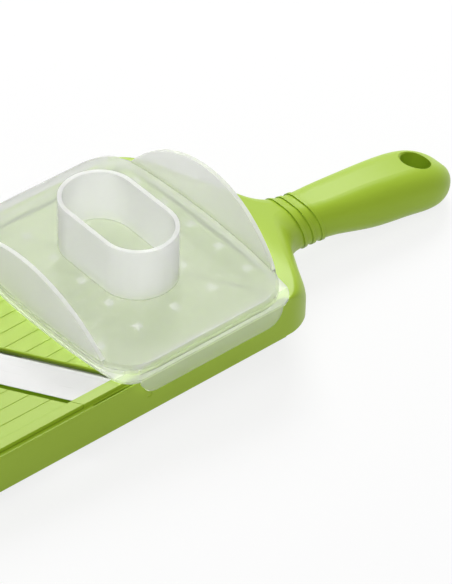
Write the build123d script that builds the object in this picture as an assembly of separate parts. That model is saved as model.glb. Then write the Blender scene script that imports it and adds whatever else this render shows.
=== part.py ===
from build123d import *
import os
from math import asin, atan2, cos, degrees, radians, sin, sqrt, tan

# Hand-held mandoline slicer with a skewed ceramic blade, an adjustable thickness plate
# and a food holder that slides on the rails of the board.
# Millimetres. x runs from the front end of the board to the handle, y across the board,
# z up from the lower edge of the side walls.

# Board
BOARD_LENGTH = 178.3
BOARD_WIDTH = 92.0
WALL = 2.4
DECK = 2.4
FRONT_CORNER = 14.0
FRONT_BAR = 6.0
LEDGE_LENGTH = 168.4
LEDGE_HEIGHT = 14.3
LEDGE_WIDTH = 1.6
RAIL_STEP = 1.5
RAIL_WIDTH = 3.7
RAIL_LIP = 1.0
SLOT_START = 90.0
SLOT_WIDTH = 0.5
SLOT_DEPTH = 0.6

# Shoulders and neck
SHOULDER_CORNER = 15.7
SHOULDER_ANGLE = 31.4
SHOULDER_EDGE = 0.4
SHOULDER_FALL = 3.8
CREST_ROUND = 11.2
CREST_REACH = 7.6
NECK_FILLET = 16.7
NECK_WIDTH = 19.8
NECK_THICKNESS = 14.5
NECK_DROP = 12.8
NECK_REACH = 42.2
RINGS = 3
RING_REACH = 30.0
RING_SPACING = 3.95
RING_WIDTH = 1.3
RING_HEIGHT = 0.45
RING_LEAN = 12.0

# Handle
HANDLE_REACH = 102.3
SWELL_REACH = 61.7
SWELL_WIDTH = 23.4
SWELL_THICKNESS = 17.6
SWELL_DROP = 15.2
PALM_REACH = 79.7
PALM_DROP = 18.05
GRIP_WIDTH = 24.9
GRIP_THICKNESS = 17.8
GRIP_DROP = 19.2
TIP_ROUND = 17.3
TIP_SECTIONS = (0.4, 0.7, 0.9, 0.99)
SIDE_FLAT = 1.2
HANG_HOLE = 11.0
HANG_HOLE_REACH = 87.0
HANG_HOLE_RIM = 1.0
CORE_ROOF = 4.5
COVER_LEVEL = 4.0
COVER_THICKNESS = 2.3
COVER_SEAT = 0.8
COVER_LENGTH = 34.0
COVER_WIDTH = 12.0
COVER_REACH = 58.7
HANDLE_SCREW_SPACING = 17.0

# Blade
BLADE_X = 76.6
BLADE_SKEW = 32.2
BLADE_DEPTH = 13.0
BLADE_THICKNESS = 1.2
BLADE_RAKE = 2.5
BLADE_RISE = 0.15
BLADE_BEVEL = 3.0
BLADE_MICRO_BEVEL = 0.35
BACK_BEVEL = 1.0
EDGE_DEPTH = 0.15
EDGE_LAND = 0.1
BLADE_OVERHANG = 5.0
BLADE_TUCK = 2.4
BACK_SLOT = 2.0
BRIDGE_DEPTH = 5.0

# Thickness plate and its hinge
PLATE_LENGTH = 49.8
THROAT = 3.8
EDGE_ROUND = 0.6
LIP = 0.7
LIP_REACH = 0.9
HINGE_ROD = 2.0
KNUCKLE = 4.0
KNUCKLE_STEM = 3.2
KNUCKLE_LENGTH = 20.0
KNUCKLE_Y = 20.0
LUG_LENGTH = 7.0
LUG_Y = 36.0
THINNEST_SLICE = 0.5
THICKEST_SLICE = 3.0
SETTINGS = 4
REST_SETTING = 1
LINE_SPACING = 5.9
LINE_WIDTH = 0.3
LINE_DEPTH = 0.1
RIB = 1.5
RIB_DEPTH = 3.0
FRONT_RIB = 19.0
BACK_RIB = 36.0

# Adjuster
ADJUSTER_INSET = 5.35
ADJUSTER_HEIGHT = 6.85
ADJUSTER_ROD = 2.6
JOURNAL = 1.4
GRIP_BARREL = 5.0
GRIP_BARREL_LENGTH = 24.0
FLUTES = 8
FLUTE = 0.8
DETENT_FLATS = 4.6
DETENT_ROUND = 5.2
DETENT_LENGTH = 5.0
SPRING_THICKNESS = 0.4
SPRING_LENGTH = 15.0
SPRING_WIDTH = 4.0
SEAT_RIB = 4.0
SEAT_RIB_DEPTH = 2.6

# Landing plate fixing
SHELF = 2.2
SHELF_WIDTH = 2.8
SCREW_SHANK = 2.2
SCREW_LENGTH = 5.5
SCREW_HEAD = 4.2
SCREW_HEAD_HEIGHT = 1.5
SCREW_LUG = 2.2
SCREW_LUG_WIDTH = 8.0
SCREW_INSET = 9.5
SCREW_FRONT = 22.0
SCREW_BACK = 68.0
BOSS = 5.4
BOSS_LENGTH = 3.0

# Front feet
FOOT = 8.4
FOOT_BOSS = 10.0
FOOT_STEM = 3.8
FOOT_STEM_LENGTH = 5.0
FOOT_PROUD = 1.6
FOOT_RECESS = 1.0
FOOT_INSET = 9.0

# Food holder
HOLDER_X = 136.0
HOLDER_LENGTH = 76.0
HOLDER_WIDTH = 93.4
HOLDER_RISE = 4.3
HOLDER_WALL = 1.5
HOLDER_CORNER = 15.0
HOLDER_BOW = 300.0
LID_EDGE = 1.0
SHIELD_HEIGHT = 18.2
SHIELD_ARCH = 45.0
END_FLANGE = 0.4
FLANGE_HEIGHT = 1.0
FLANGE_CORNER = 8.0
SKIRT_DEPTH = 6.2
SKIRT_LENGTH = 57.5
SKIRT_CORNER = 6.0
TUBE_WIDTH = 26.9
TUBE_LENGTH = 46.4
TUBE_HEIGHT = 19.4
TUBE_WALL = 1.5
TEETH = 5
TOOTH_PITCH_X = 15.1
TOOTH_PITCH_Y = 14.3
TOOTH_BASE = 3.0
TOOTH_TIP = 0.4
TOOTH_DEPTH = 2.3
RUNNER = 1.4
GUIDE = 0.9
GUIDE_LENGTH = 56.0

# Clearances
SEAM = 0.12
RUNNING_FIT = 0.05
PRESS_FIT = 0.02
PLATE_GAP = 0.4
SLIDE_GAP = 0.12
SKIRT_GAP = 0.5
FLANGE_GAP = 0.3
CAM_GAP = 0.08

# Levels and widths that follow from the sizes above
half_width = BOARD_WIDTH / 2
rail_outer = half_width - LEDGE_WIDTH
runway_half = rail_outer - RAIL_WIDTH
inner_half = half_width - WALL
rail_top = LEDGE_HEIGHT + RAIL_STEP
runway_top = rail_top - RAIL_LIP
deck_under = runway_top - DECK
overall_length = BOARD_LENGTH + HANDLE_REACH
FAR = 2 * overall_length

# Places along the board
guide_reach = GUIDE_LENGTH / 2
runway_end = HOLDER_X + HOLDER_LENGTH / 2 - HOLDER_WALL
neck_half = NECK_WIDTH / 2
shoulder_turn = 90 - SHOULDER_ANGLE
half_turn = tan(radians(shoulder_turn / 2))
corner_start = BOARD_LENGTH - SHOULDER_CORNER * half_turn
neck_vertex = BOARD_LENGTH + (half_width - neck_half) * tan(radians(SHOULDER_ANGLE))
neck_start = neck_vertex + NECK_FILLET * half_turn
neck_end = BOARD_LENGTH + NECK_REACH
first_ring = BOARD_LENGTH + RING_REACH

# Skewed frame of the blade: u across the blade towards the handle, z up
skew_x = cos(radians(BLADE_SKEW))
skew_y = sin(radians(BLADE_SKEW))
skew_plane = Plane(origin=(BLADE_X, 0, 0), x_dir=(skew_x, skew_y, 0), z_dir=(skew_y, -skew_x, 0))
seam_u = -BLADE_DEPTH - BACK_SLOT
hinge_u = THROAT + PLATE_LENGTH
hinge_height = deck_under - PLATE_GAP - KNUCKLE / 2
plate_end_u = hinge_u + KNUCKLE / 2 - PLATE_GAP
deck_edge_u = plate_end_u + PLATE_GAP


# Construction helpers


def block(x_from, x_to, y_from, y_to, z_from, z_to):
    centre = Pos((x_from + x_to) / 2, (y_from + y_to) / 2, (z_from + z_to) / 2)
    return centre * Box(x_to - x_from, y_to - y_from, z_to - z_from)


def lane(half, z_from=-FAR, z_to=FAR):
    """Everything between two planes along the board."""
    return block(-FAR, FAR, -half, half, z_from, z_to)


def both_sides(piece):
    return piece + mirror(piece, about=Plane.XZ)


def upright(x, y, diameter, z_from, z_to):
    return Pos(x, y, (z_from + z_to) / 2) * Cylinder(diameter / 2, z_to - z_from)


def polygon(*points):
    return make_face(Polyline(*points, close=True))


def skew_v(u, y):
    """Distance along the blade at which the line u crosses a given y."""
    return (y - u * skew_y) / skew_x


def skew_prism(profile, v_from=-FAR, v_to=FAR):
    """A profile in (u, z) drawn out along the blade."""
    return extrude(skew_plane.offset(-v_to) * profile, v_to - v_from)


def skew_strip(u_from, u_to, z_from=-FAR, z_to=FAR):
    middle = Pos((u_from + u_to) / 2, (z_from + z_to) / 2)
    return skew_prism(middle * Rectangle(u_to - u_from, z_to - z_from))


# Shoulders, neck and handle


def shoulder_half_width(x):
    """Half the width of the board's end: a round corner, a straight taper, a hollow fillet."""
    arc_end = corner_start + SHOULDER_CORNER * sin(radians(shoulder_turn))
    fillet_start = neck_start - NECK_FILLET * sin(radians(shoulder_turn))
    if x <= corner_start:
        return half_width
    if x <= arc_end:
        return half_width - SHOULDER_CORNER + sqrt(SHOULDER_CORNER**2 - (x - corner_start) ** 2)
    if x <= fillet_start:
        return half_width - (x - BOARD_LENGTH) / tan(radians(SHOULDER_ANGLE))
    if x <= neck_start:
        return neck_half + NECK_FILLET - sqrt(NECK_FILLET**2 - (neck_start - x) ** 2)
    return neck_half


def smooth(share):
    """An even ease from 0 to 1."""
    share = min(1.0, max(0.0, share))
    return share * share * (3 - 2 * share)


def shoulder_sections(steps=14):
    """Sections from the end of the rails to the neck: x, width, top, bottom, upper and lower corner."""
    fall_start = BOARD_LENGTH - SHOULDER_FALL
    crest_x = BOARD_LENGTH + CREST_REACH
    neck_round = (NECK_THICKNESS - SIDE_FLAT) / 2
    for step in range(steps):
        x = LEDGE_LENGTH + (neck_start - LEDGE_LENGTH) * step / steps
        fall = smooth((x - fall_start) / (neck_end - fall_start))
        swell = smooth((x - LEDGE_LENGTH) / (crest_x - LEDGE_LENGTH))
        ease = smooth((x - crest_x) / (neck_end - crest_x))
        top = rail_top - NECK_DROP * fall
        bottom = (rail_top - NECK_DROP - NECK_THICKNESS) * fall
        upper = SHOULDER_EDGE + (CREST_ROUND - SHOULDER_EDGE) * swell + (neck_round - CREST_ROUND) * ease
        lower = SHOULDER_EDGE + (neck_round - SHOULDER_EDGE) * fall
        yield x, 2 * shoulder_half_width(x), top, bottom, upper, lower


def grip_sections():
    """Sections from the end of the neck to the palm end, then round the tip."""
    palm_end = overall_length - TIP_ROUND
    stations = [
        (neck_end, NECK_WIDTH, NECK_DROP, NECK_THICKNESS),
        (BOARD_LENGTH + SWELL_REACH, SWELL_WIDTH, SWELL_DROP, SWELL_THICKNESS),
        (BOARD_LENGTH + PALM_REACH, GRIP_WIDTH, PALM_DROP, GRIP_THICKNESS),
        (palm_end, GRIP_WIDTH, GRIP_DROP, GRIP_THICKNESS),
    ]
    for x, width, drop, thickness in stations:
        top = rail_top - drop
        corner = (thickness - SIDE_FLAT) / 2
        yield x, width, top, top - thickness, corner, corner
    droop = (GRIP_DROP - PALM_DROP) / (palm_end - BOARD_LENGTH - PALM_REACH)
    for share in TIP_SECTIONS:
        x = palm_end + TIP_ROUND * share
        size = sqrt(1 - share**2)
        half = GRIP_THICKNESS * size / 2
        middle = rail_top - GRIP_DROP - GRIP_THICKNESS / 2 - droop * TIP_ROUND * share
        corner = (GRIP_THICKNESS - SIDE_FLAT) * size / 2
        yield x, GRIP_WIDTH * size, middle + half, middle - half, corner, corner


def handle_form(swell=0.0):
    """The end of the board with the handle, grown all round by a swell."""
    faces = []
    for x, width, top, bottom, upper, lower in [*shoulder_sections(), *grip_sections()]:
        plane = Plane(origin=(x, 0, (top + bottom) / 2), x_dir=(0, 1, 0), z_dir=(1, 0, 0))
        outline = Rectangle(width + 2 * swell, top - bottom + 2 * swell)
        outline = fillet(outline.vertices().group_by(Axis.Y)[-1], upper + swell)
        outline = fillet(outline.vertices().group_by(Axis.Y)[0], lower + swell)
        faces.append(plane * outline)
    return loft(faces)


droop_angle = degrees(atan2(GRIP_DROP - PALM_DROP, HANDLE_REACH - TIP_ROUND - PALM_REACH))
outer_form = handle_form()

# The core under the handle's cover is drawn square to the slanting underside
underside_fall = PALM_DROP + GRIP_THICKNESS - NECK_DROP - NECK_THICKNESS
cover_tilt = degrees(atan2(underside_fall, PALM_REACH - NECK_REACH))
cover_middle = rail_top - SWELL_DROP - SWELL_THICKNESS / 2
cover_place = Pos(BOARD_LENGTH + COVER_REACH, 0, cover_middle) * Rot(0, cover_tilt, 0)
cover_screw_seat = -COVER_LEVEL - COVER_SEAT


def cover_prism(clearance, low, high):
    """The stadium shape of the handle's core between two levels."""
    outline = SlotOverall(COVER_LENGTH - 2 * clearance, COVER_WIDTH - 2 * clearance)
    return cover_place * extrude(Pos(0, 0, low) * outline, high - low)


def cover_bars(diameter, low, high):
    """Round bars on the axes of the two cover screws."""
    reach = HANDLE_SCREW_SPACING / 2
    return [cover_place * upright(x, 0, diameter, low, high) for x in (-reach, reach)]


def handle_rings():
    """Raised beads round the neck that keep the thumb from slipping."""
    swollen = handle_form(RING_HEIGHT)
    middle = rail_top - NECK_DROP - NECK_THICKNESS / 2
    rings = []
    for ring in range(RINGS):
        place = Pos(first_ring + ring * RING_SPACING, 0, middle) * Rot(0, -RING_LEAN, 0)
        rings.append(swollen & place * Box(RING_WIDTH, BOARD_WIDTH / 2, 3 * NECK_THICKNESS))
    return rings


def hang_hole():
    """The bore through the palm end with a softened rim above and below."""
    x = BOARD_LENGTH + HANG_HOLE_REACH
    share = (HANG_HOLE_REACH - PALM_REACH) / (HANDLE_REACH - TIP_ROUND - PALM_REACH)
    top = rail_top - PALM_DROP - (GRIP_DROP - PALM_DROP) * share
    place = Pos(x, 0, top - GRIP_THICKNESS / 2) * Rot(0, droop_angle, 0)
    half = GRIP_THICKNESS / 2
    bore = Cylinder(HANG_HOLE / 2, 3 * GRIP_THICKNESS)
    rim = Cone(HANG_HOLE / 2, HANG_HOLE / 2 + 2 * HANG_HOLE_RIM, 2 * HANG_HOLE_RIM)
    upper = Pos(0, 0, half) * rim
    lower = Rot(180, 0, 0) * upper
    return place * (bore + upper + lower)


# Blade


def rake_point(back, depth):
    """A point so far behind the edge and so deep under the top face of the blade."""
    rake = radians(BLADE_RAKE)
    u = -back * cos(rake) + depth * sin(rake)
    return u, runway_top + BLADE_RISE - back * sin(rake) - depth * cos(rake)


def slicing_blade():
    profile = polygon(
        rake_point(BLADE_MICRO_BEVEL, 0),
        rake_point(0, EDGE_DEPTH),
        rake_point(0, EDGE_DEPTH + EDGE_LAND),
        rake_point(BLADE_BEVEL, BLADE_THICKNESS),
        rake_point(BLADE_DEPTH - BACK_BEVEL, BLADE_THICKNESS),
        rake_point(BLADE_DEPTH, EDGE_LAND),
        rake_point(BLADE_DEPTH, 0),
    )
    return skew_prism(profile) & lane(runway_half + BLADE_TUCK)


def blade_pocket():
    """Room for the blade in the ends of the rails, open towards the landing plate."""
    profile = polygon(
        rake_point(-PLATE_GAP, -SEAM),
        rake_point(-PLATE_GAP, BLADE_THICKNESS),
        rake_point(BLADE_DEPTH + 2 * BACK_SLOT, BLADE_THICKNESS),
        rake_point(BLADE_DEPTH + 2 * BACK_SLOT, -SEAM),
    )
    return skew_prism(profile) & lane(runway_half + BLADE_TUCK + SEAM)


def blade_bridge():
    """The bar under the blade, cut back in front so that slices fall through the throat."""
    front_u, front_z = rake_point(BLADE_OVERHANG, BLADE_THICKNESS)
    back_u, back_z = rake_point(BLADE_DEPTH - BACK_BEVEL, BLADE_THICKNESS)
    foot = deck_under - BRIDGE_DEPTH
    profile = polygon(
        (front_u, front_z),
        (back_u, back_z),
        (back_u, deck_under),
        (seam_u - SHELF_WIDTH, deck_under),
        (seam_u - SHELF_WIDTH, foot),
        (front_u - BRIDGE_DEPTH, foot),
        (front_u, front_z - BLADE_THICKNESS),
    )
    return skew_prism(profile) & lane(inner_half + WALL / 2)


# Landing plate

screw_places = [
    (SCREW_FRONT, half_width - SCREW_INSET),
    (SCREW_FRONT, -half_width + SCREW_INSET),
    (SCREW_BACK, -half_width + SCREW_INSET),
]
lug_top = deck_under - BOSS_LENGTH


def runway_lines(top):
    """Fine grooves along the runway that keep wet food from sticking."""
    count = int(2 * runway_half / LINE_SPACING)
    lines = []
    for line in range(count):
        y = (line - (count - 1) / 2) * LINE_SPACING
        lines.append(block(-FAR, FAR, y - LINE_WIDTH / 2, y + LINE_WIDTH / 2, top - LINE_DEPTH, FAR))
    return lines


def landing_plate():
    edge = rail_outer - SEAM
    plate = block(FRONT_BAR + SEAM, BOARD_LENGTH, -edge, edge, deck_under, rail_top)
    plate &= skew_strip(-FAR, seam_u - SEAM)
    plate -= lane(runway_half, runway_top, FAR)
    plate -= runway_lines(runway_top)
    for x, y in screw_places:
        plate += upright(x, y, BOSS, lug_top, deck_under + DECK / 2)
        plate -= upright(x, y, SCREW_SHANK, lug_top - DECK, lug_top + SCREW_LENGTH - SCREW_LUG + SEAM)
    return plate


def landing_plate_screws():
    head_top = lug_top - SCREW_LUG
    screws = []
    for x, y in screw_places:
        shank = upright(x, y, SCREW_SHANK - 2 * PRESS_FIT, head_top, head_top + SCREW_LENGTH)
        screws.append(shank + upright(x, y, SCREW_HEAD, head_top - SCREW_HEAD_HEIGHT, head_top))
    return screws


# Thickness plate, hinge and adjuster


def tilt_for(slice_thickness):
    return degrees(asin(slice_thickness / PLATE_LENGTH))


least_tilt = tilt_for(THINNEST_SLICE)
most_tilt = tilt_for(THICKEST_SLICE)
adjuster_sweep = 90.0 * (SETTINGS - 1)
rest_turn = 90.0 * REST_SETTING
tilt_ratio = (most_tilt - least_tilt) / adjuster_sweep
rest_tilt = least_tilt + tilt_ratio * rest_turn


def tilted(piece):
    """Turns the level plate about its hinge to the setting at rest."""
    place = skew_plane.location * Pos(hinge_u, hinge_height) * Rot(0, 0, rest_tilt)
    level = skew_plane.location * Pos(hinge_u, hinge_height)
    return place * (level.inverse() * piece)


def hinge_prism(profile, y, length):
    middle = skew_v(hinge_u, y)
    return skew_prism(Pos(hinge_u, hinge_height) * profile, middle - length / 2, middle + length / 2)


def hinge_bore(clearance):
    return skew_prism(Pos(hinge_u, hinge_height) * Circle(HINGE_ROD / 2 + clearance))


def thickness_plate():
    profile = polygon(
        (THROAT, runway_top),
        (THROAT, runway_top - LIP),
        (THROAT + LIP_REACH, deck_under),
        (plate_end_u, deck_under),
        (plate_end_u, runway_top),
    )
    free_corner = profile.vertices().group_by(Axis.X)[0].sort_by(Axis.Y)[-1]
    profile = fillet(free_corner, EDGE_ROUND)
    plate = skew_prism(profile)
    for u in (THROAT + FRONT_RIB, THROAT + BACK_RIB):
        plate += skew_strip(u - RIB / 2, u + RIB / 2, deck_under - RIB_DEPTH, deck_under)
    plate &= lane(runway_half - PLATE_GAP)
    plate -= runway_lines(runway_top)
    stem = Pos(0, KNUCKLE / 2) * Rectangle(KNUCKLE_STEM, KNUCKLE)
    for y in (-KNUCKLE_Y, KNUCKLE_Y):
        plate += hinge_prism(Circle(KNUCKLE / 2) + stem, y, KNUCKLE_LENGTH)
    plate -= hinge_bore(RUNNING_FIT)
    return tilted(plate)


def hinge_lugs():
    """Eyes under the edge of the fixed deck that carry the hinge rod."""
    gusset = polygon(
        (0, -KNUCKLE / 2),
        (2 * KNUCKLE, KNUCKLE / 2 + PLATE_GAP),
        (deck_edge_u - hinge_u, KNUCKLE / 2 + PLATE_GAP),
        (0, KNUCKLE / 2),
    )
    lugs = [hinge_prism(Circle(KNUCKLE / 2) + gusset, y, LUG_LENGTH) for y in (-LUG_Y, 0, LUG_Y)]
    return lugs[0] + lugs[1] + lugs[2]


def hinge_rod():
    ends = [skew_v(hinge_u, side * LUG_Y) + side * LUG_LENGTH / 2 for side in (-1, 1)]
    return skew_prism(Pos(hinge_u, hinge_height) * Circle(HINGE_ROD / 2), *ends)


def plate_distance(tilt):
    """Distance from the adjuster's axis to the underside of the plate at a tilt."""
    turn = radians(tilt)
    under = deck_under - hinge_height
    fall = hinge_height - ADJUSTER_HEIGHT
    return under + fall * cos(turn) - (hinge_u - ADJUSTER_INSET) * sin(turn)


def cam_point(turn):
    """The point of the cam that bears on the plate after a turn of the adjuster."""
    tilt = least_tilt + tilt_ratio * turn
    angle = radians(90 + tilt + rest_turn - turn)
    radius = plate_distance(tilt) - CAM_GAP
    return radius * cos(angle), radius * sin(angle)


def cam_profile(steps=6):
    """A spiral of arcs that lifts the plate in proportion to its turn, closed by one flat."""
    points = [cam_point(adjuster_sweep * step / (2 * steps)) for step in range(2 * steps + 1)]
    edges = [ThreePointArc(*points[step:step + 3]) for step in range(0, 2 * steps, 2)]
    edges.append(Line(points[-1], points[0]))
    return make_face(edges)


def adjuster_prism(profile, v_from, v_to):
    return skew_prism(Pos(ADJUSTER_INSET, ADJUSTER_HEIGHT) * profile, v_from, v_to)


cam_reach = plate_distance(least_tilt) * skew_y
bar_ends = [skew_v(ADJUSTER_INSET, side * (runway_half - PLATE_GAP - cam_reach)) for side in (-1, 1)]
bar_middle = (bar_ends[0] + bar_ends[1]) / 2
detent_end = bar_ends[0] + DETENT_LENGTH


def adjuster_bar():
    """One moulding: a fluted grip between two spiral cams, with a four-sided detent."""
    barrel = Circle(GRIP_BARREL / 2)
    for flute in range(FLUTES):
        barrel -= Rot(0, 0, 360 * flute / FLUTES) * Pos(GRIP_BARREL / 2, 0) * Circle(FLUTE / 2)
    detent = Rectangle(DETENT_FLATS, DETENT_FLATS) & Circle(DETENT_ROUND / 2)
    half_grip = GRIP_BARREL_LENGTH / 2
    bar = adjuster_prism(barrel, bar_middle - half_grip, bar_middle + half_grip)
    bar += adjuster_prism(cam_profile(), detent_end, bar_middle - half_grip)
    bar += adjuster_prism(cam_profile(), bar_middle + half_grip, bar_ends[1])
    bar += adjuster_prism(detent, bar_ends[0], detent_end)
    return bar - adjuster_prism(Circle(ADJUSTER_ROD / 2 + PRESS_FIT), -FAR, FAR)


def adjuster_rod():
    slant = ADJUSTER_ROD / 2 * skew_y
    ends = [skew_v(ADJUSTER_INSET, side * (inner_half - PLATE_GAP - slant)) for side in (-1, 1)]
    rod = adjuster_prism(Circle(ADJUSTER_ROD / 2), *ends)
    journal = adjuster_prism(Circle(JOURNAL / 2), -FAR, FAR)
    return rod + (journal & lane(half_width - SEAM))


def spring_place():
    """Where the leaf lies: under the detent, with its tail on the cross rib."""
    middle = (bar_ends[0] + detent_end) / 2
    top = ADJUSTER_HEIGHT - DETENT_FLATS / 2
    tail = ADJUSTER_INSET + SPRING_LENGTH - DETENT_FLATS / 2
    return middle, top, tail


def detent_spring():
    middle, top, tail = spring_place()
    tip = tail - SPRING_LENGTH
    leaf = Pos((tip + tail) / 2, top - SPRING_THICKNESS / 2) * Rectangle(SPRING_LENGTH, SPRING_THICKNESS)
    lip = polygon(
        (tip, top - SPRING_THICKNESS),
        (tip, top),
        (tip - 2 * SPRING_THICKNESS, top - 2 * SPRING_THICKNESS),
        (tip - 2 * SPRING_THICKNESS, top - 3 * SPRING_THICKNESS),
    )
    return skew_prism(leaf + lip, middle - SPRING_WIDTH / 2, middle + SPRING_WIDTH / 2)


def seat_rib():
    """Cross rib behind the adjuster that carries the tail of the detent spring."""
    top, tail = spring_place()[1:]
    seat = top - SPRING_THICKNESS
    rib = skew_strip(tail - SEAT_RIB, tail, seat - SEAT_RIB_DEPTH, seat)
    return rib & lane(inner_half + WALL / 2)


# Frame


foot_places = [(FOOT_INSET, half_width - FOOT_INSET), (FOOT_INSET, -half_width + FOOT_INSET)]


def board_outline(inset, end):
    corner = FRONT_CORNER - inset
    length = end - inset
    outline = Pos(inset + length / 2, 0) * Rectangle(length, BOARD_WIDTH - 2 * inset)
    front = outline.vertices().group_by(Axis.X)[0]
    return fillet(front, corner)


def board_hollow():
    """The open underside, with round corners under the shoulders."""
    outline = board_outline(WALL, BOARD_LENGTH)
    outline = fillet(outline.vertices().group_by(Axis.X)[-1], SHOULDER_CORNER - WALL)
    return Pos(0, 0, -FAR) * extrude(outline, FAR + deck_under)


def landing_shelf():
    """Ledges inside the walls and the front on which the landing plate lies."""
    inside = rail_outer - SHELF_WIDTH
    shelf = lane(rail_outer, deck_under - SHELF, deck_under) - lane(inside)
    shelf += block(0, FRONT_BAR + SHELF_WIDTH, -inside, inside, deck_under - SHELF, deck_under)
    shelf &= skew_strip(-FAR, seam_u)
    return shelf & extrude(board_outline(WALL / 2, BOARD_LENGTH), FAR)


def board_frame():
    frame = extrude(board_outline(0, LEDGE_LENGTH), rail_top) + outer_form
    frame -= both_sides(block(-FAR, LEDGE_LENGTH, rail_outer, FAR, LEDGE_HEIGHT, FAR))
    slot_y = (rail_outer + half_width) / 2
    slot_floor = LEDGE_HEIGHT - SLOT_DEPTH
    half_slot = SLOT_WIDTH / 2
    slot = block(SLOT_START, LEDGE_LENGTH, slot_y - half_slot, slot_y + half_slot, slot_floor, FAR)
    frame -= both_sides(slot)
    frame -= block(-FAR, runway_end, -runway_half, runway_half, runway_top, FAR)
    frame -= board_hollow()
    landing = block(FRONT_BAR, BOARD_LENGTH, -rail_outer, rail_outer, deck_under, FAR)
    frame -= landing & skew_strip(-FAR, seam_u)
    frame -= lane(runway_half) & skew_strip(seam_u, deck_edge_u)
    frame += landing_shelf()
    frame += blade_bridge()
    frame += seat_rib()
    frame -= blade_pocket()
    for x, y in screw_places:
        side = 1 if y > 0 else -1
        wall_y = side * (inner_half + WALL / 2)
        inside_y = y - side * SCREW_LUG_WIDTH / 2
        low, high = min(wall_y, inside_y), max(wall_y, inside_y)
        half_lug = SCREW_LUG_WIDTH / 2
        frame += block(x - half_lug, x + half_lug, low, high, lug_top - SCREW_LUG, lug_top)
        frame -= upright(x, y, SCREW_SHANK + 2 * SEAM, -FAR, lug_top)
    for x, y in foot_places:
        boss = upright(x, y, FOOT_BOSS, FOOT_RECESS, deck_under - SHELF)
        frame += boss & extrude(board_outline(WALL / 2, BOARD_LENGTH), FAR)
        frame -= upright(x, y, FOOT_STEM, -FAR, FOOT_RECESS + FOOT_STEM_LENGTH + SEAM)
    frame += hinge_lugs() - hinge_bore(PRESS_FIT)
    frame -= adjuster_prism(Circle(JOURNAL / 2 + RUNNING_FIT), -FAR, FAR)
    frame += handle_rings()
    frame -= hang_hole()
    frame -= cover_prism(0, -FAR, CORE_ROOF)
    frame += cover_bars(BOSS, -COVER_LEVEL, CORE_ROOF + COVER_SEAT)
    frame -= cover_bars(SCREW_SHANK, -COVER_LEVEL, cover_screw_seat + SCREW_LENGTH + SEAM)
    return frame


def handle_cover():
    cover = cover_prism(SEAM, -COVER_LEVEL - COVER_THICKNESS, -COVER_LEVEL)
    cover -= cover_bars(SCREW_SHANK + 2 * SEAM, -FAR, FAR)
    cover -= cover_bars(SCREW_HEAD + 2 * SEAM, -FAR, cover_screw_seat)
    return cover


def handle_screws():
    shanks = cover_bars(SCREW_SHANK - 2 * PRESS_FIT, cover_screw_seat, cover_screw_seat + SCREW_LENGTH)
    heads = cover_bars(SCREW_HEAD, cover_screw_seat - SCREW_HEAD_HEIGHT, cover_screw_seat)
    return [shank + head for shank, head in zip(shanks, heads)]


# Food holder

holder_top = rail_top + HOLDER_RISE
holder_under = holder_top - HOLDER_WALL
flange_low = rail_top + FLANGE_GAP
skirt_inside = half_width + SKIRT_GAP


def holder_outline(length, width, corner):
    """A rectangle with gently bowed ends and round corners."""
    bow = Pos(length / 2 - HOLDER_BOW, 0) * Circle(HOLDER_BOW)
    outline = Rectangle(length, width) & bow & mirror(bow, about=Plane.YZ)
    return fillet(outline.vertices(), corner)


lid_outline = holder_outline(HOLDER_LENGTH, HOLDER_WIDTH, HOLDER_CORNER)
room_length = HOLDER_LENGTH - 2 * HOLDER_WALL
room_width = HOLDER_WIDTH - 2 * HOLDER_WALL
room_outline = holder_outline(room_length, room_width, HOLDER_CORNER - HOLDER_WALL)
flange_length = HOLDER_LENGTH + 2 * END_FLANGE
flange_width = 2 * (skirt_inside + HOLDER_WALL)
flange_outline = holder_outline(flange_length, flange_width, FLANGE_CORNER)


def holder_lid():
    """The lid with its softened edge, hollow underneath, and the flange round its foot."""
    lid = extrude(Pos(0, 0, flange_low) * lid_outline, holder_top - flange_low)
    lid = chamfer(lid.faces().sort_by(Axis.Z)[-1].edges(), LID_EDGE)
    lid -= extrude(Pos(0, 0, flange_low) * room_outline, holder_under - flange_low)
    return lid + extrude(Pos(0, 0, flange_low) * (flange_outline - room_outline), FLANGE_HEIGHT)


def holder_shields():
    """Arched end walls that keep the fingers from the blade."""
    wall = lid_outline - room_outline
    ring = extrude(Pos(0, 0, flange_low) * wall, holder_top + SHIELD_HEIGHT - flange_low)
    arch_centre = holder_top + SHIELD_HEIGHT - SHIELD_ARCH
    arch = Plane.YZ * (Pos(0, arch_centre) * Circle(SHIELD_ARCH))
    return ring & extrude(arch, FAR, both=True)


def holder_skirt():
    """The flap that hangs over the side wall of the board."""
    face = fillet(Rectangle(SKIRT_LENGTH, 2 * SKIRT_DEPTH).vertices(), SKIRT_CORNER)
    flap = extrude(Plane.XZ * (Pos(0, flange_low) * face), -HOLDER_WALL)
    return Pos(0, skirt_inside, 0) * flap & lane(FAR, -FAR, flange_low + FLANGE_HEIGHT)


def holder_rib(y, width, low):
    return block(-guide_reach, guide_reach, y - width / 2, y + width / 2, low, holder_under)


def holder_tube():
    straight = TUBE_LENGTH - TUBE_WIDTH
    wall = SlotCenterToCenter(straight, TUBE_WIDTH)
    room = SlotCenterToCenter(straight, TUBE_WIDTH - 2 * TUBE_WALL)
    ring = Rot(0, 0, 90) * (wall - room)
    return extrude(Pos(0, 0, holder_under) * ring, TUBE_HEIGHT + HOLDER_WALL)


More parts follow.
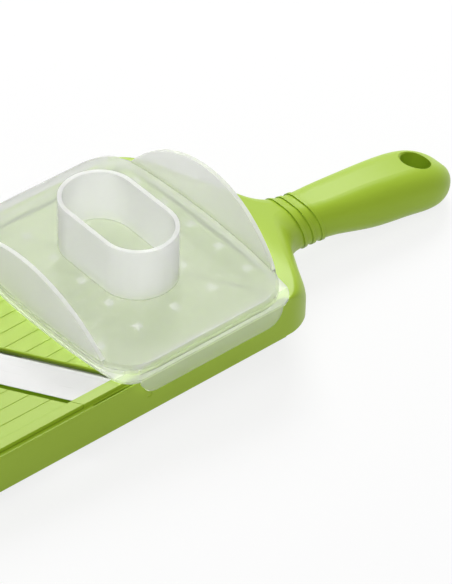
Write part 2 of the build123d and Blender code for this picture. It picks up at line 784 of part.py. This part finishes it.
def holder_teeth():
    """Four-sided points under the lid that grip the food, none under the tube."""
    slant = degrees(atan2(TOOTH_BASE - TOOTH_TIP, 2 * TOOTH_DEPTH))
    tooth = Rot(180, 0, 0) * extrude(Rectangle(TOOTH_BASE, TOOTH_BASE), TOOTH_DEPTH, taper=slant)
    teeth = []
    for column in range(TEETH):
        for row in range(TEETH):
            x = (column - TEETH // 2) * TOOTH_PITCH_X
            y = (row - TEETH // 2) * TOOTH_PITCH_Y
            if abs(x) > TUBE_WIDTH / 2 or abs(y) > TUBE_LENGTH / 2:
                teeth.append(Pos(x, y, holder_under) * tooth)
    return teeth


def hand_guard():
    guard = holder_lid() + holder_shields() + holder_tube() + both_sides(holder_skirt())
    rail_middle = (runway_half + rail_outer) / 2
    ledge_middle = (rail_outer + half_width) / 2
    guard += both_sides(holder_rib(rail_middle, RUNNER, rail_top + SLIDE_GAP))
    guard += both_sides(holder_rib(ledge_middle, GUIDE, LEDGE_HEIGHT + FLANGE_GAP))
    guard += holder_teeth()
    return Pos(HOLDER_X, 0, 0) * guard


# Front feet and the pose at rest


def lowest_slope():
    """Slope of the plane that the feet and the underside of the handle stand on."""
    slopes = []
    for x, _, _, bottom, *_ in grip_sections():
        slopes.append(atan2(-FOOT_PROUD - bottom, x - FOOT_INSET))
    return degrees(max(slopes))


rest_slope = lowest_slope()


def front_feet():
    slope = Pos(FOOT_INSET, 0, -FOOT_PROUD) * Rot(0, rest_slope, 0)
    ground = slope * block(-FAR, FAR, -FAR, FAR, -FAR, 0)
    feet = []
    for x, y in foot_places:
        foot = upright(x, y, FOOT, -2 * FOOT_PROUD, FOOT_RECESS) - ground
        feet.append(foot + upright(x, y, FOOT_STEM - 2 * PRESS_FIT, 0, FOOT_RECESS + FOOT_STEM_LENGTH))
    return feet


pieces = {
    "board_frame": [board_frame()],
    "handle_cover": [handle_cover()],
    "handle_screws": handle_screws(),
    "landing_plate": [landing_plate()],
    "landing_plate_screws": landing_plate_screws(),
    "slicing_blade": [slicing_blade()],
    "thickness_plate": [thickness_plate()],
    "hinge_rod": [hinge_rod()],
    "adjuster_bar": [adjuster_bar()],
    "adjuster_rod": [adjuster_rod()],
    "detent_spring": [detent_spring()],
    "front_feet": front_feet(),
    "hand_guard": [hand_guard()],
}

# Stood on its feet and handle, with the origin under the middle of the whole slicer
level = Rot(0, -rest_slope, 0) * Pos(-FOOT_INSET, 0, FOOT_PROUD)
extent = (level * pieces["board_frame"][0]).bounding_box()
rest = Pos(-(extent.min.X + extent.max.X) / 2, 0, 0) * level

os.makedirs("parts", exist_ok=True)
for name, shapes in pieces.items():
    solids = [rest * solid for shape in shapes for solid in shape.solids()]
    node = solids[0] if len(solids) == 1 else Compound(children=solids)
    export_step(node, f"parts/{name}.step")
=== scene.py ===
import bpy
import math
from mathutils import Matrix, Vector

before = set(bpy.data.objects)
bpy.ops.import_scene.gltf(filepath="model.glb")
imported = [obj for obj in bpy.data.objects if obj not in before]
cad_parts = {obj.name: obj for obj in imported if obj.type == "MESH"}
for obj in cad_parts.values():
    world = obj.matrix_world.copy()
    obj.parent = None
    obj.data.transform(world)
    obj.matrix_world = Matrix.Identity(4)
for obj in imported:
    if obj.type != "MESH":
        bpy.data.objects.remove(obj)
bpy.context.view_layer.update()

# Board frame: one injection moulding in apple-green plastic, with side walls, rails and ledges,
# and a ringed neck and drooping handle drawn out of its back end. The satin skin comes from
# a lightly blasted mould.
APPLE_LIGHT = (0.375, 0.545, 0.03)
APPLE_DARK = (0.355, 0.525, 0.027)
MOULD_WAVE = 60.0
MOULD_GRAIN = 1500.0
GRAIN_DEPTH = 0.00008
GLOSS_SPREAD = 0.12
BOARD_GLOSS = 0.30
BOARD_EDGE = 0.0003


def start(name):
    """A new material, its nodes, its shader and the piece's own coordinates."""
    material = bpy.data.materials.new(name)
    material.use_nodes = True
    tree = material.node_tree
    place = tree.nodes.new("ShaderNodeTexCoord").outputs["Object"]
    return material, tree, tree.nodes["Principled BSDF"], place


def noise(tree, place, scale, detail=2.0):
    node = tree.nodes.new("ShaderNodeTexNoise")
    node.inputs["Scale"].default_value = scale
    node.inputs["Detail"].default_value = detail
    tree.links.new(place, node.inputs["Vector"])
    return node.outputs["Fac"]


def drift(tree, share, first, second):
    """A colour that wanders between two near ones."""
    node = tree.nodes.new("ShaderNodeMix")
    node.data_type = "RGBA"
    node.inputs["A"].default_value = (*first, 1.0)
    node.inputs["B"].default_value = (*second, 1.0)
    tree.links.new(share, node.inputs["Factor"])
    return node.outputs["Result"]


def spread(tree, share, low, high):
    node = tree.nodes.new("ShaderNodeMapRange")
    node.inputs["To Min"].default_value = low
    node.inputs["To Max"].default_value = high
    tree.links.new(share, node.inputs["Value"])
    return node.outputs["Result"]


def relief(tree, height, strength, depth):
    node = tree.nodes.new("ShaderNodeBump")
    node.inputs["Strength"].default_value = strength
    node.inputs["Distance"].default_value = depth
    tree.links.new(height, node.inputs["Height"])
    return node


def coat(tree, shader, colour, gloss, skin):
    tree.links.new(colour, shader.inputs["Base Color"])
    tree.links.new(gloss, shader.inputs["Roughness"])
    tree.links.new(skin.outputs["Normal"], shader.inputs["Normal"])


def green_moulding(name, light, dark, gloss, softness):
    """Satin green plastic: faint colour drift, fine blasted grain, softened edges."""
    material, tree, shader, place = start(name)
    shader.inputs["IOR"].default_value = 1.49
    shader.inputs["Specular IOR Level"].default_value = 0.25
    grain = noise(tree, place, MOULD_GRAIN)
    edge = tree.nodes.new("ShaderNodeBevel")
    edge.samples = 6
    edge.inputs["Radius"].default_value = softness
    skin = relief(tree, grain, 0.12, GRAIN_DEPTH)
    tree.links.new(edge.outputs["Normal"], skin.inputs["Normal"])
    colour = drift(tree, noise(tree, place, MOULD_WAVE, 3.0), light, dark)
    coat(tree, shader, colour, spread(tree, grain, gloss, gloss + GLOSS_SPREAD), skin)
    return material


def dress(node, material):
    """Gives a carried-over solid its finish."""
    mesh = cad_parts[node].data
    mesh.materials.clear()
    mesh.materials.append(material)


apple_green = green_moulding("apple_green", APPLE_LIGHT, APPLE_DARK, BOARD_GLOSS, BOARD_EDGE)
dress("board_frame", apple_green)

# Handle cover: a moulded plate let into the underside of the cored handle, from the same green
# plastic, a little duller, held by two small steel screws with turned heads.
COVER_LIGHT = (0.36, 0.53, 0.03)
COVER_DARK = (0.34, 0.51, 0.027)
COVER_GLOSS = 0.44
COVER_EDGE = 0.0005
STEEL = (0.60, 0.61, 0.62, 1.0)
STEEL_STRETCH = 25.0
SCREW_GRAIN = 900.0
SCREW_LIE = (math.pi / 2, 0.0, 0.0)


def streaks(tree, place, lie, stretch, scale, detail):
    """Fine marks drawn out along a piece that lies at the given angles."""
    turn = tree.nodes.new("ShaderNodeMapping")
    turn.vector_type = "TEXTURE"
    turn.inputs["Rotation"].default_value = lie
    turn.inputs["Scale"].default_value = (1.0, stretch, 1.0)
    tree.links.new(place, turn.inputs["Vector"])
    return noise(tree, turn.outputs["Vector"], scale, detail)


def drawn_steel(name, grain, lie):
    """Stainless steel with drawing marks along the piece."""
    material, tree, shader, place = start(name)
    shader.inputs["Base Color"].default_value = STEEL
    shader.inputs["Metallic"].default_value = 1.0
    marks = streaks(tree, place, lie, STEEL_STRETCH, grain, 4.0)
    skin = relief(tree, marks, 0.2, 0.00005)
    tree.links.new(spread(tree, marks, 0.22, 0.42), shader.inputs["Roughness"])
    tree.links.new(skin.outputs["Normal"], shader.inputs["Normal"])
    return material


cover_green = green_moulding("cover_green", COVER_LIGHT, COVER_DARK, COVER_GLOSS, COVER_EDGE)
dress("handle_cover", cover_green)
screw_steel = drawn_steel("screw_steel", SCREW_GRAIN, SCREW_LIE)
dress("handle_screws", screw_steel)

# Landing plate: the green runway behind the blade, a separate moulding with fine drainage lines
# and its own rail ends, screwed up from below with three steel screws.
RUNWAY_GLOSS = 0.34
RUNWAY_EDGE = 0.0002

landing_green = green_moulding(
    "landing_green", APPLE_LIGHT, APPLE_DARK, RUNWAY_GLOSS, RUNWAY_EDGE
)
dress("landing_plate", landing_green)
dress("landing_plate_screws", screw_steel)

# Slicing blade: a strip of white zirconia ceramic, ground flat, with a bevel ground below
# the edge, held on the bridge under the landing plate. It lies at a skew across the board.
SKEW = math.radians(32.2)
CERAMIC_LIGHT = (0.57, 0.57, 0.56)
CERAMIC_DARK = (0.545, 0.545, 0.535)
CERAMIC_CLOUD = 90.0
GRINDING_MARKS = 1800.0
GRINDING_STRETCH = 40.0
GRINDING_DEPTH = 0.00003


def ground_ceramic(name):
    material, tree, shader, place = start(name)
    shader.inputs["IOR"].default_value = 2.1
    shader.inputs["Specular IOR Level"].default_value = 0.15
    marks = streaks(tree, place, (0.0, 0.0, SKEW), GRINDING_STRETCH, GRINDING_MARKS, 3.0)
    colour = drift(tree, noise(tree, place, CERAMIC_CLOUD), CERAMIC_LIGHT, CERAMIC_DARK)
    skin = relief(tree, marks, 0.06, GRINDING_DEPTH)
    coat(tree, shader, colour, spread(tree, marks, 0.24, 0.34), skin)
    return material


dress("slicing_blade", ground_ceramic("ground_ceramic"))

# Thickness plate and its hinge rod: a ribbed green runway plate that turns on a steel rod under
# the fixed deck. Its rounded free edge sets the gap in front of the blade.
RUNWAY_LIGHT = (0.385, 0.555, 0.03)
RUNWAY_DARK = (0.365, 0.535, 0.027)
ROD_GRAIN = 1400.0

runway_green = green_moulding(
    "runway_green", RUNWAY_LIGHT, RUNWAY_DARK, RUNWAY_GLOSS, RUNWAY_EDGE
)
dress("thickness_plate", runway_green)
dress("hinge_rod", drawn_steel("rod_steel", ROD_GRAIN, (0.0, 0.0, SKEW)))

# Adjuster: a white moulded bar with spiral cams and a fluted grip, pressed on a green moulded rod.
# The rod's ends run in the side walls, and a leaf spring clicks on the square at one end.
WHITE_LIGHT = (0.74, 0.75, 0.72)
WHITE_DARK = (0.70, 0.71, 0.68)
WHITE_GRAIN = 1100.0
WHITE_DEPTH = 0.0001
ROD_GLOSS = 0.40
ROD_EDGE = 0.0002
SPRING_GRAIN = 1000.0
SPRING_LIE = (0.0, 0.0, SKEW - math.pi / 2)


def matt_white(name):
    material, tree, shader, place = start(name)
    grain = noise(tree, place, WHITE_GRAIN)
    colour = drift(tree, grain, WHITE_LIGHT, WHITE_DARK)
    skin = relief(tree, grain, 0.15, WHITE_DEPTH)
    coat(tree, shader, colour, spread(tree, grain, 0.45, 0.6), skin)
    return material


dress("adjuster_bar", matt_white("matt_white"))
rod_green = green_moulding("rod_green", APPLE_LIGHT, APPLE_DARK, ROD_GLOSS, ROD_EDGE)
dress("adjuster_rod", rod_green)
dress("detent_spring", drawn_steel("spring_steel", SPRING_GRAIN, SPRING_LIE))

# Front feet: two soft grey rubber plugs, moulded with a matt face and pushed into bosses
# under the front corners.
RUBBER_LIGHT = (0.11, 0.115, 0.105)
RUBBER_DARK = (0.085, 0.09, 0.082)
RUBBER_GRAIN = 1600.0
RUBBER_DEPTH = 0.0001


def soft_rubber(name):
    material, tree, shader, place = start(name)
    shader.inputs["Specular IOR Level"].default_value = 0.3
    grain = noise(tree, place, RUBBER_GRAIN, 5.0)
    colour = drift(tree, grain, RUBBER_LIGHT, RUBBER_DARK)
    skin = relief(tree, grain, 0.3, RUBBER_DEPTH)
    coat(tree, shader, colour, spread(tree, grain, 0.6, 0.8), skin)
    return material


dress("front_feet", soft_rubber("soft_rubber"))

# Food holder: one thin moulding in milky translucent plastic, with a finger tube, two arched
# shields, skirts over the side walls and small teeth under the lid. The lid is polished, the walls
# above it are frosted, and the skirts are the clearest. Its milky colour is set zone by zone,
# partly the plastic's own milkiness and partly painted light: darker on the lid as painted shade
# where the lamps fall strongly, paler on the walls and skirts as painted light. Nothing fixes it:
# it runs on the rails.
LID_NORMAL = (-0.0777, 0.0, 0.99698)
LID_HEIGHT = 0.0319
LEVEL_REACH = 0.005
# Frost by level, where 0.5 is the top of the lid and 0.1 is one millimetre
FROST_LEVELS = ((0.10, 0.3), (0.14, 1.0), (0.32, 1.0), (0.36, 0.0), (0.51, 0.0), (0.53, 1.0))
LID_UNDER = 0.34
LID_MIDDLE = 0.425
TOOTH_ROOT = 0.345
SKIRT_LINE = 0.0425
TEETH_MIDDLE = -0.0056
TEETH_LENGTH = 0.0325
TEETH_WIDTH = 0.0315
SKIRT_FROST = 0.4
SKIRT_CLEAR, LID_CLEAR, WALL_CLEAR = 0.82, 0.70, 0.38
# Colour scale by zone, partly the plastic's own milkiness and partly painted light: the lid's low
# value is painted shade against the strong lamp light on it, the walls' and skirts' high values
# paint in light they lack.
SKIRT_MILK_AND_PAINTED_LIGHT, WALL_MILK_AND_PAINTED_LIGHT, LID_MILK_AND_PAINTED_SHADE = 0.87, 0.93, 0.65
SCATTER = 0.80
TOOTH_CLEAR = -0.16
TOOTH_SCATTER = -0.45
FROST_ROUGH = 0.10
MILK_LIGHT = (0.975, 0.98, 0.97)
MILK_DARK = (0.955, 0.96, 0.95)
MILK_CLOUD = 45.0
MILK_GRAIN = 1300.0
MILK_DEPTH = 0.00006
MILK_SHADE = (0.965, 0.97, 0.965, 1.0)


def combine(tree, operation, *values):
    """A calculation on numbers and on outputs of other nodes."""
    node = tree.nodes.new("ShaderNodeMath")
    node.operation = operation
    for socket, value in zip(node.inputs, values):
        if isinstance(value, float):
            socket.default_value = value
        else:
            tree.links.new(value, socket)
    return node.outputs["Value"]


def mix_surfaces(tree, share, first, second):
    """Shows the second surface in the given share, and the first in the rest."""
    node = tree.nodes.new("ShaderNodeMixShader")
    tree.links.new(share, node.inputs["Fac"])
    tree.links.new(first, node.inputs[1])
    tree.links.new(second, node.inputs[2])
    tree.links.new(node.outputs["Shader"], tree.nodes["Material Output"].inputs["Surface"])


def milky_plastic(name):
    """Translucent plastic whose frost and clearness change from zone to zone; its milky colour
    changes too, partly its own milkiness and partly painted light: painted shade on the strongly
    lit lid, painted light on the walls and skirts.
    """
    material, tree, shader, place = start(name)
    shader.inputs["IOR"].default_value = 1.08
    shader.inputs["Subsurface Scale"].default_value = 0.004
    shader.inputs["Subsurface Radius"].default_value = (1.0, 1.0, 1.0)

    height = tree.nodes.new("ShaderNodeVectorMath")
    height.operation = "DOT_PRODUCT"
    height.inputs[1].default_value = LID_NORMAL
    tree.links.new(place, height.inputs[0])
    scale = tree.nodes.new("ShaderNodeMapRange")
    scale.inputs["From Min"].default_value = LID_HEIGHT - LEVEL_REACH
    scale.inputs["From Max"].default_value = LID_HEIGHT + LEVEL_REACH
    tree.links.new(height.outputs["Value"], scale.inputs["Value"])
    level = scale.outputs["Result"]

    frost = tree.nodes.new("ShaderNodeValToRGB")
    ramp = frost.color_ramp
    for element, (position, shade) in zip(ramp.elements, (FROST_LEVELS[0], FROST_LEVELS[-1])):
        element.position = position
        element.color = (shade, shade, shade, 1.0)
    for position, shade in FROST_LEVELS[1:-1]:
        ramp.elements.new(position).color = (shade, shade, shade, 1.0)
    tree.links.new(level, frost.inputs["Fac"])

    axes = tree.nodes.new("ShaderNodeSeparateXYZ")
    tree.links.new(place, axes.inputs["Vector"])
    x, y = axes.outputs["X"], axes.outputs["Y"]
    above = combine(tree, "GREATER_THAN", level, LID_UNDER)
    inside = combine(tree, "COMPARE", y, 0.0, SKIRT_LINE)
    over_board = combine(tree, "MAXIMUM", inside, above)
    lid = combine(tree, "COMPARE", level, LID_MIDDLE, LID_MIDDLE - LID_UNDER)
    along = combine(tree, "COMPARE", x, TEETH_MIDDLE, TEETH_LENGTH)
    across = combine(tree, "COMPARE", y, 0.0, TEETH_WIDTH)
    below = combine(tree, "LESS_THAN", level, TOOTH_ROOT)
    tooth = combine(tree, "MULTIPLY", combine(tree, "MULTIPLY", along, across), below)
    frost_share = combine(tree, "MULTIPLY_ADD", over_board, 1.0 - SKIRT_FROST, SKIRT_FROST)
    frosted = combine(tree, "MULTIPLY", frost.outputs["Color"], frost_share)

    clear = combine(tree, "MULTIPLY_ADD", over_board, LID_CLEAR - SKIRT_CLEAR, SKIRT_CLEAR)
    clear = combine(tree, "MULTIPLY_ADD", frosted, WALL_CLEAR - LID_CLEAR, clear)
    clear = combine(tree, "MULTIPLY_ADD", tooth, TOOTH_CLEAR, clear)
    tree.links.new(clear, shader.inputs["Transmission Weight"])
    scatter = combine(tree, "MULTIPLY_ADD", tooth, TOOTH_SCATTER, SCATTER)
    tree.links.new(scatter, shader.inputs["Subsurface Weight"])

    # Milky colour scale by zone, partly painted: shade painted on the lid, light painted on the
    # walls and skirts.
    milk_and_painted_shading = combine(tree, "MULTIPLY_ADD", lid, LID_MILK_AND_PAINTED_SHADE - WALL_MILK_AND_PAINTED_LIGHT, SKIRT_MILK_AND_PAINTED_LIGHT)
    milk_and_painted_shading = combine(tree, "MULTIPLY_ADD", over_board, WALL_MILK_AND_PAINTED_LIGHT - SKIRT_MILK_AND_PAINTED_LIGHT, milk_and_painted_shading)
    depth = tree.nodes.new("ShaderNodeVectorMath")
    depth.operation = "SCALE"
    cloud = noise(tree, place, MILK_CLOUD, 3.0)
    tree.links.new(drift(tree, cloud, MILK_LIGHT, MILK_DARK), depth.inputs[0])
    tree.links.new(milk_and_painted_shading, depth.inputs["Scale"])

    grain = noise(tree, place, MILK_GRAIN)
    polish = spread(tree, grain, 0.04, 0.08)
    gloss = combine(tree, "MULTIPLY_ADD", frosted, FROST_ROUGH, polish)
    coat(tree, shader, depth.outputs["Vector"], gloss, relief(tree, grain, 0.08, MILK_DEPTH))

    path = tree.nodes.new("ShaderNodeLightPath")
    shade = tree.nodes.new("ShaderNodeBsdfTransparent")
    shade.inputs["Color"].default_value = MILK_SHADE
    is_shadow = path.outputs["Is Shadow Ray"]
    mix_surfaces(tree, is_shadow, shader.outputs["BSDF"], shade.outputs["BSDF"])
    return material


dress("hand_guard", milky_plastic("milky_plastic"))

# Studio: a pale floor that keeps a faint shadow, a large soft lamp above and behind,
# a weak fill from the camera's side, and the photograph's camera.
FLOOR_REACH = 40.0
FLOOR_DROP = 0.0005
FLOOR_GLOW = 0.82
FILL_LIGHT = 0.22
AIM = (0.0, 0.0, 0.0)
BACK_LAMP = (0.58, 0.75, 0.89)
TOP_LAMP = (-0.4, -0.5, 1.1)
CAMERA_PLACE = (-0.61461, -0.69052, 0.72684)
CAMERA_TURN = (52.4013, -4.5312, -40.1293)
CAMERA_LENS = 221.367


def seen(tree):
    """1 where a ray looks at the backdrop, also by reflection or through the plastic."""
    path = tree.nodes.new("ShaderNodeLightPath")
    camera_ray, glossy_ray = path.outputs["Is Camera Ray"], path.outputs["Is Glossy Ray"]
    either = combine(tree, "MAXIMUM", camera_ray, path.outputs["Is Transmission Ray"])
    return combine(tree, "MAXIMUM", either, glossy_ray)


floor_mesh = bpy.data.meshes.new("floor")
corners = [(-1, -1), (1, -1), (1, 1), (-1, 1)]
floor_mesh.from_pydata(
    [(FLOOR_REACH * x, FLOOR_REACH * y, 0.0) for x, y in corners], [], [(0, 1, 2, 3)]
)
floor = bpy.data.objects.new("floor", floor_mesh)
bpy.context.scene.collection.objects.link(floor)
floor.location.z = -FLOOR_DROP
paper = bpy.data.materials.new("paper")
paper.use_nodes = True
paper_tree = paper.node_tree
paper_shader = paper_tree.nodes["Principled BSDF"]
paper_shader.inputs["Base Color"].default_value = (0.90, 0.90, 0.90, 1.0)
paper_shader.inputs["Roughness"].default_value = 0.9
glow = paper_tree.nodes.new("ShaderNodeEmission")
glow.inputs["Strength"].default_value = 1.0
glow_share = combine(paper_tree, "MULTIPLY", seen(paper_tree), FLOOR_GLOW)
mix_surfaces(paper_tree, glow_share, paper_shader.outputs["BSDF"], glow.outputs["Emission"])
floor_mesh.materials.append(paper)

world = bpy.data.worlds.new("studio")
bpy.context.scene.world = world
world.use_nodes = True
sky = world.node_tree.nodes["Background"]
sky.inputs["Color"].default_value = (1.0, 1.0, 1.0, 1.0)
sky_level = spread(world.node_tree, seen(world.node_tree), FILL_LIGHT, 1.0)
world.node_tree.links.new(sky_level, sky.inputs["Strength"])


def soft_lamp(name, place, size, power):
    lamp = bpy.data.lights.new(name, "AREA")
    lamp.shape = "RECTANGLE"
    lamp.size = lamp.size_y = size
    lamp.energy = power
    holder = bpy.data.objects.new(name, lamp)
    holder.location = place
    holder.rotation_mode = "QUATERNION"
    holder.rotation_quaternion = (Vector(AIM) - Vector(place)).to_track_quat("-Z", "Y")
    bpy.context.scene.collection.objects.link(holder)


soft_lamp("back_lamp", BACK_LAMP, 0.7, 14.0)
soft_lamp("top_lamp", TOP_LAMP, 1.4, 6.5)

camera = bpy.data.cameras.new("camera")
camera.sensor_width = 36.0
camera.lens = CAMERA_LENS
camera_holder = bpy.data.objects.new("camera", camera)
bpy.context.scene.collection.objects.link(camera_holder)
camera_holder.location = CAMERA_PLACE
camera_holder.rotation_euler = [math.radians(angle) for angle in CAMERA_TURN]
bpy.context.scene.camera = camera_holder
bpy.context.scene.view_settings.view_transform = "Standard"
